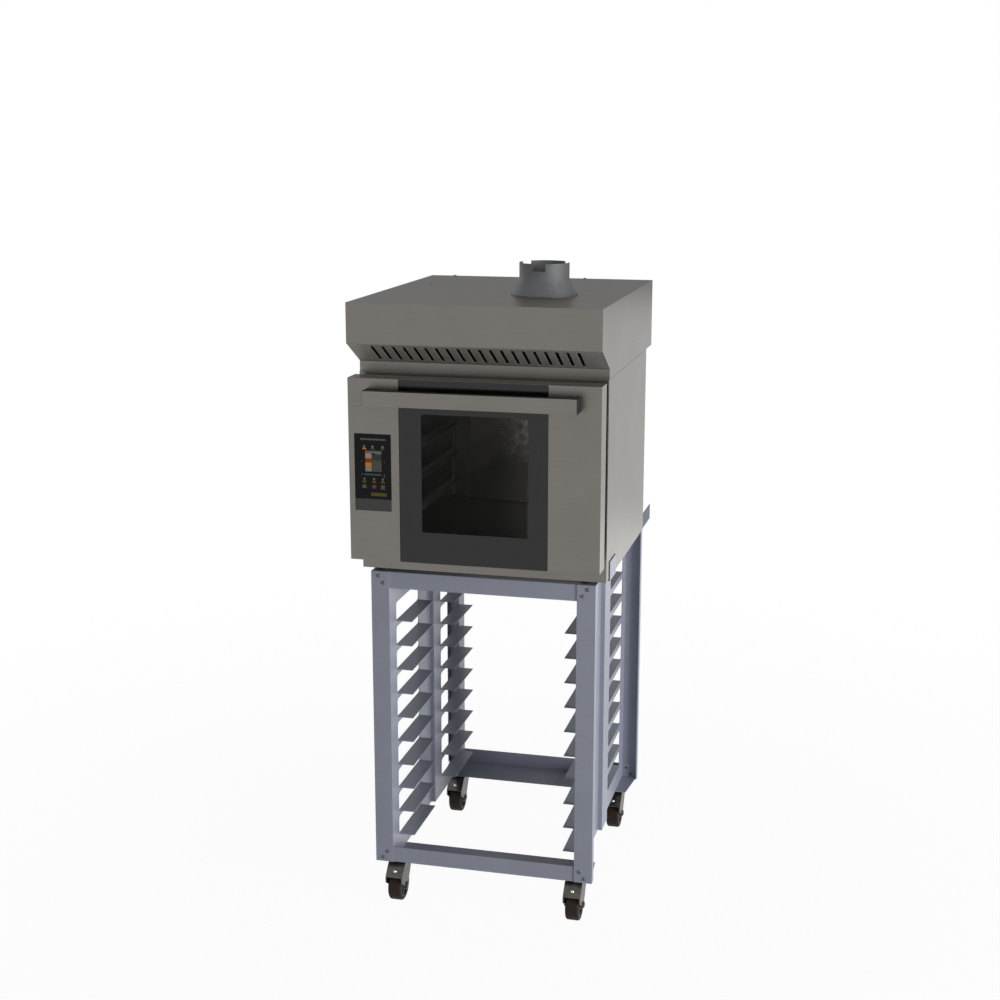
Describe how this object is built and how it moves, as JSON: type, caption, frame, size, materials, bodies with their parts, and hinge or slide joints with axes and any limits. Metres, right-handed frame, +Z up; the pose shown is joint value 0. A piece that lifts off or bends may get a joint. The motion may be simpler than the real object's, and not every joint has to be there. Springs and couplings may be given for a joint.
{
  "type": "convection oven",
  "caption": "Countertop convection oven with a drop-down glass door and a ventless hood, on an open tray stand with side ledges and swivel casters.",
  "frame": {"origin": "on the floor, at the middle of the footprint", "axes": "+Z up, the door faces -Y, +X to the right seen from the front"},
  "size_m": [0.605, 0.8148, 1.607],
  "materials": {
    "stand_steel": "powder coat, cool grey",
    "zinc": "bright zinc plate",
    "caster_tread": "matt",
    "screw_steel": "bright",
    "oven_steel": "brushed, warm grey",
    "chamber_steel": "satin, darkened by heat",
    "collar_steel": "galvanised",
    "motor_alloy": "cast",
    "mineral_wool": "fibrous",
    "seal_rubber": "matt",
    "border_glass": "black printed border round a clear window",
    "clear_glass": "polished",
    "panel_black": "gloss black",
    "black_plastic": "matt",
    "board_green": "matt"
  },
  "bodies": {
    "oven_and_stand": {"stand_side_left": "stand_steel", "stand_side_right": "stand_steel", "ledges_left": "stand_steel", "ledges_right": "stand_steel", "top_rail_front": "stand_steel", "top_rail_rear": "stand_steel", "bottom_rail_front": "stand_steel", "bottom_rail_rear": "stand_steel", "locating_brackets": "stand_steel", "caster_plates": "zinc", "screws": "screw_steel", "oven_casing": "oven_steel", "oven_base": "oven_steel", "oven_back": "oven_steel", "front_panel": "oven_steel", "front_frame": "oven_steel", "wall_spacers": "oven_steel", "hinge_brackets": "oven_steel", "hood_shell": "oven_steel", "slot_panel": "oven_steel", "hood_floor": "oven_steel", "vent_pipe": "oven_steel", "cavity_liner": "chamber_steel", "tray_rack_left": "chamber_steel", "tray_rack_right": "chamber_steel", "fan_baffle": "chamber_steel", "heating_element": "chamber_steel", "hood_filter": "chamber_steel", "exhaust_collar": "collar_steel", "fan_motor": "motor_alloy", "hood_motor": "motor_alloy", "insulation": "mineral_wool", "door_gasket": "seal_rubber", "oven_feet": "seal_rubber", "cable_gland": "black_plastic"},
    "door": {"door_skin_left": "oven_steel", "door_skin_right": "oven_steel", "door_pan": "oven_steel", "outer_glass": "border_glass", "inner_glass": "clear_glass", "door_handle": "oven_steel", "control_panel": "panel_black", "control_housing": "black_plastic", "control_board": "board_green", "hinge_pins": "oven_steel"},
    "oven_fan": {"fan_impeller": "chamber_steel", "fan_shaft": "chamber_steel"},
    "hood_fan": {"hood_fan": "chamber_steel"},
    "fork_front_left": {"caster_fork_front_left": "zinc", "caster_axle_front_left": "zinc"},
    "wheel_front_left": {"caster_wheel_front_left": "caster_tread"},
    "fork_front_right": {"caster_fork_front_right": "zinc", "caster_axle_front_right": "zinc"},
    "wheel_front_right": {"caster_wheel_front_right": "caster_tread"},
    "fork_rear_left": {"caster_fork_rear_left": "zinc", "caster_axle_rear_left": "zinc"},
    "wheel_rear_left": {"caster_wheel_rear_left": "caster_tread"},
    "fork_rear_right": {"caster_fork_rear_right": "zinc", "caster_axle_rear_right": "zinc"},
    "wheel_rear_right": {"caster_wheel_rear_right": "caster_tread"}
  },
  "joints": [
    {"name": "door_hinge", "type": "hinge", "parent": "oven_and_stand", "child": "door", "pos_m": [0, -0.31495, 0.93], "axis": [1, 0, 0], "range_deg": [0, 90], "stiffness_Nm_per_rad": 5.7, "springref_deg": -55},
    {"name": "oven_fan_spin", "type": "hinge", "parent": "oven_and_stand", "child": "oven_fan", "pos_m": [0, 0.18805, 1.135], "axis": [0, 1, 0], "continuous": true},
    {"name": "hood_fan_spin", "type": "hinge", "parent": "oven_and_stand", "child": "hood_fan", "pos_m": [0.105, -0.08495, 1.508], "axis": [0, 0, 1], "continuous": true},
    {"name": "swivel_front_left", "type": "hinge", "parent": "oven_and_stand", "child": "fork_front_left", "pos_m": [-0.2285, -0.22395, 0.113], "axis": [0, 0, 1], "continuous": true},
    {"name": "roll_front_left", "type": "hinge", "parent": "fork_front_left", "child": "wheel_front_left", "pos_m": [-0.2285, -0.25395, 0.04], "axis": [1, 0, 0], "continuous": true},
    {"name": "swivel_front_right", "type": "hinge", "parent": "oven_and_stand", "child": "fork_front_right", "pos_m": [0.2285, -0.22395, 0.113], "axis": [0, 0, 1], "continuous": true},
    {"name": "roll_front_right", "type": "hinge", "parent": "fork_front_right", "child": "wheel_front_right", "pos_m": [0.2285, -0.25395, 0.04], "axis": [1, 0, 0], "continuous": true},
    {"name": "swivel_rear_left", "type": "hinge", "parent": "oven_and_stand", "child": "fork_rear_left", "pos_m": [-0.2285, 0.34405, 0.113], "axis": [0, 0, 1], "continuous": true},
    {"name": "roll_rear_left", "type": "hinge", "parent": "fork_rear_left", "child": "wheel_rear_left", "pos_m": [-0.2285, 0.31405, 0.04], "axis": [1, 0, 0], "continuous": true},
    {"name": "swivel_rear_right", "type": "hinge", "parent": "oven_and_stand", "child": "fork_rear_right", "pos_m": [0.2285, 0.34405, 0.113], "axis": [0, 0, 1], "continuous": true},
    {"name": "roll_rear_right", "type": "hinge", "parent": "fork_rear_right", "child": "wheel_rear_right", "pos_m": [0.2285, 0.31405, 0.04], "axis": [1, 0, 0], "continuous": true}
  ]
}
